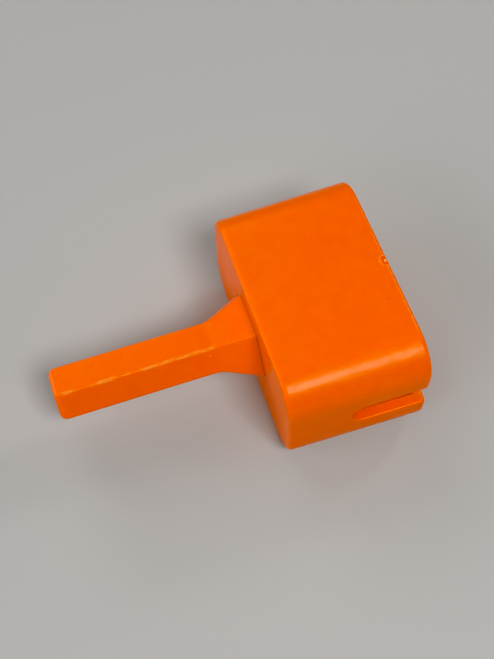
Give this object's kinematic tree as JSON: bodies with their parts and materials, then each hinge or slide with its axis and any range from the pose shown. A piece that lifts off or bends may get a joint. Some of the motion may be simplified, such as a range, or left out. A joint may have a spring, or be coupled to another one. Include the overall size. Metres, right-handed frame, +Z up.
{
  "type": "toy mallet",
  "caption": "Small moulded toy mallet with a six-sided handle and a slot through its block head, by which it hangs on a toy tool belt.",
  "frame": {"origin": "centre of the flat underside of the head", "axes": "+X along the handle axis from the handle towards the far end of the head, +Y along the long direction of the head between the striking faces, +Z up"},
  "size_m": [0.0811, 0.056, 0.0316],
  "materials": {
    "orange_plastic": "satin moulded plastic with light wear on the handle"
  },
  "bodies": {
    "root": {"head_shell": "orange_plastic", "slot_cap": "orange_plastic", "handle": "orange_plastic"}
  },
  "joints": []
}
